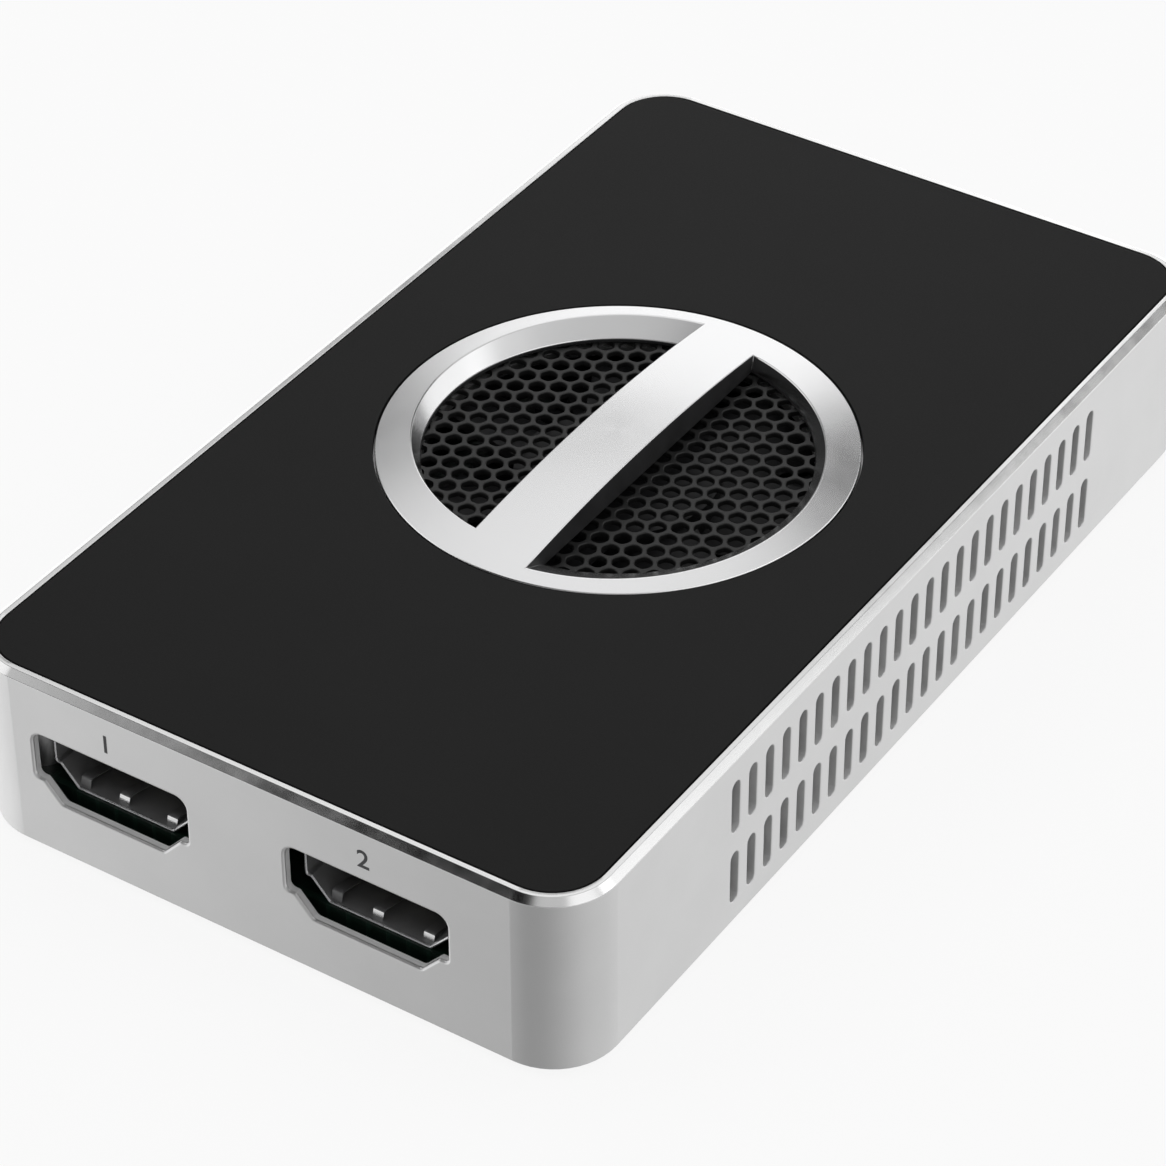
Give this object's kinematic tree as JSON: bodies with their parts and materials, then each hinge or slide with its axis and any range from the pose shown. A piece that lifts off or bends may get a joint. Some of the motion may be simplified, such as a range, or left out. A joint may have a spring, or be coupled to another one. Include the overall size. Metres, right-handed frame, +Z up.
{
  "type": "video capture box",
  "caption": "Flat aluminium video capture box with a matte black top panel, a domed fan grille ring, side vent slots and video, host and audio sockets.",
  "frame": {"origin": "middle of the footprint, on the plane that the rubber feet stand on", "axes": "+X to the right, +Y from the video sockets at the front to the host port at the rear, +Z up"},
  "size_m": [0.0602, 0.104, 0.0198],
  "materials": {
    "case_aluminium": "fine bead-blasted and clear anodised, with a bright cut chamfer along the top edge",
    "panel_black": "even matte black",
    "ring_metal": "bright turned metal",
    "mesh_black": "satin black",
    "cover_aluminium": "matte anodised",
    "foot_rubber": "matte",
    "screw_steel": "plain steel",
    "brass": "machined",
    "board_green": "solder mask over glass fibre board",
    "socket_steel": "tinned sheet",
    "socket_black": "moulded",
    "socket_blue": "moulded",
    "contact_gold": "gold flash",
    "chip_black": "moulded",
    "pad_grey": "soft pad",
    "sink_aluminium": "dark anodised",
    "ferrite": "sintered",
    "can_aluminium": "drawn can",
    "fan_black": "moulded",
    "stator_steel": "stacked sheet",
    "copper": "enamelled winding",
    "plug_white": "moulded",
    "lead_black": "insulated wire"
  },
  "bodies": {
    "case": {"housing": "case_aluminium", "top_panel": "panel_black", "grille_ring": "ring_metal", "grille_mesh": "mesh_black", "bottom_cover": "cover_aluminium", "rubber_feet": "foot_rubber", "cover_screws": "screw_steel", "standoffs": "brass", "main_board": "board_green", "video_in_shell": "socket_steel", "video_in_insulator": "socket_black", "video_in_contacts": "contact_gold", "video_loop_shell": "socket_steel", "video_loop_insulator": "socket_black", "video_loop_contacts": "contact_gold", "host_port_shell": "socket_steel", "host_port_insulator": "socket_blue", "host_port_contacts": "contact_gold", "audio_in_jack": "socket_black", "audio_out_jack": "socket_black", "audio_terminals": "screw_steel", "processor": "chip_black", "thermal_pad": "pad_grey", "heat_sink": "sink_aluminium", "memory_chips": "chip_black", "video_chips": "chip_black", "host_chip": "chip_black", "audio_chip": "chip_black", "flash_chip": "chip_black", "clock_crystal": "socket_steel", "power_inductors": "ferrite", "power_capacitors": "can_aluminium", "fan_frame": "fan_black", "fan_circuit": "board_green", "fan_stator": "stator_steel", "fan_coils": "copper", "fan_bearing": "brass", "fan_screws": "screw_steel", "fan_header": "plug_white", "fan_plug": "plug_white", "fan_lead": "lead_black"},
    "rotor": {"fan_rotor": "fan_black", "fan_magnet": "ferrite", "fan_shaft": "screw_steel"}
  },
  "joints": [
    {"name": "fan_spin", "type": "hinge", "parent": "case", "child": "rotor", "pos_m": [0, 0.0005, 0.0132], "axis": [0, 0, 1], "continuous": true}
  ]
}
